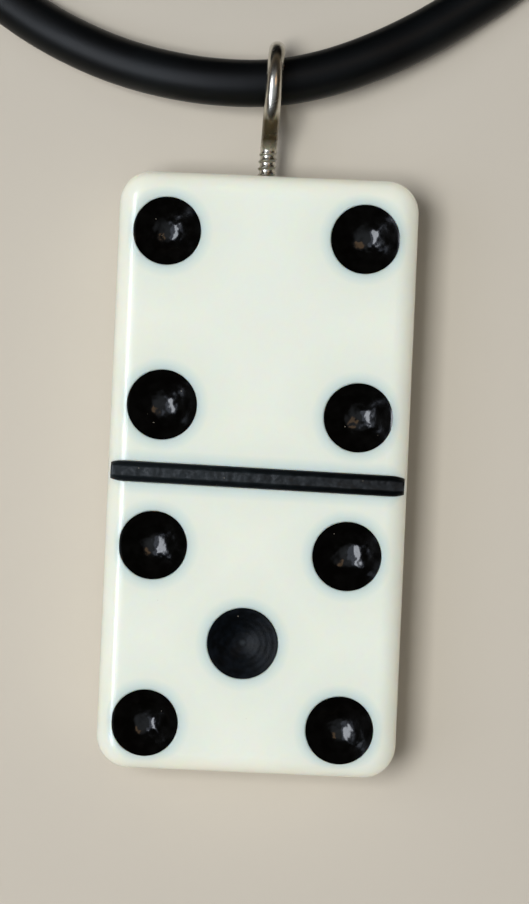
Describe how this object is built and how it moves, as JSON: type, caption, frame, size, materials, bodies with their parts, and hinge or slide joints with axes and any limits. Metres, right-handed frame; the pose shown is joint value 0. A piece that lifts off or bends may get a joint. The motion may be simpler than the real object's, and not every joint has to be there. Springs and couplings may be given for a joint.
{
  "type": "domino tile pendant",
  "caption": "Drilled ivory domino tile with painted pips and divider, worn as a pendant: a screw eye in its end carries a black rubber cord with end caps and a lobster clasp.",
  "frame": {"origin": "centre of the tile's flat back face", "axes": "+Y along the tile's length towards the screw eye, +X across the tile, +Z out of the face with the pips"},
  "size_m": [0.059, 0.118, 0.01],
  "materials": {
    "ivory_plastic": "polished cast urea plastic",
    "pip_paint": "gloss black enamel",
    "divider_paint": "worn black enamel",
    "eye_wire": "polished nickel plate",
    "cord_rubber": "satin",
    "cap_metal": "satin",
    "finding_metal": "polished"
  },
  "bodies": {
    "tile": {"tile_body": "ivory_plastic", "pip_upper_1": "pip_paint", "pip_upper_2": "pip_paint", "pip_upper_3": "pip_paint", "pip_upper_4": "pip_paint", "pip_lower_1": "pip_paint", "pip_lower_2": "pip_paint", "pip_lower_3": "pip_paint", "pip_lower_4": "pip_paint", "pip_lower_5": "pip_paint", "divider_paint": "divider_paint", "screw_eye": "eye_wire"},
    "cord": {"cord_run": "cord_rubber", "cord_coil": "cord_rubber", "cord_tail_left": "cord_rubber", "cord_tail_right": "cord_rubber", "end_cap_left": "cap_metal", "end_cap_right": "cap_metal"},
    "clasp_link": {"clasp_ring": "finding_metal"},
    "clasp": {"clasp_body": "finding_metal", "clasp_rivet": "finding_metal", "clasp_spring": "finding_metal"},
    "lever": {"clasp_lever": "finding_metal"},
    "end_link": {"end_ring": "finding_metal"}
  },
  "joints": [
    {"name": "cord_swing", "type": "hinge", "parent": "tile", "child": "cord", "pos_m": [-0.0002, 0.0331, 0.0049], "axis": [1, 0, 0], "range_deg": [-110, 120]},
    {"name": "clasp_link_turn", "type": "hinge", "parent": "cord", "child": "clasp_link", "pos_m": [-0.0096, 0.08328, 0.0027], "axis": [0, 0, 1], "range_deg": [-6, 20]},
    {"name": "clasp_turn", "type": "hinge", "parent": "clasp_link", "child": "clasp", "pos_m": [-0.006, 0.0812, 0.0015], "axis": [0, 0, 1], "range_deg": [-22, 20]},
    {"name": "lever_open", "type": "hinge", "parent": "clasp", "child": "lever", "pos_m": [-0.0067, 0.079, 0.0015], "axis": [0, 0, 1], "range_deg": [0, 16], "stiffness_Nm_per_rad": 0.0005},
    {"name": "end_link_turn", "type": "hinge", "parent": "cord", "child": "end_link", "pos_m": [0.0046, 0.08328, 0.0027], "axis": [0, 0, 1], "range_deg": [-45, 20]}
  ]
}
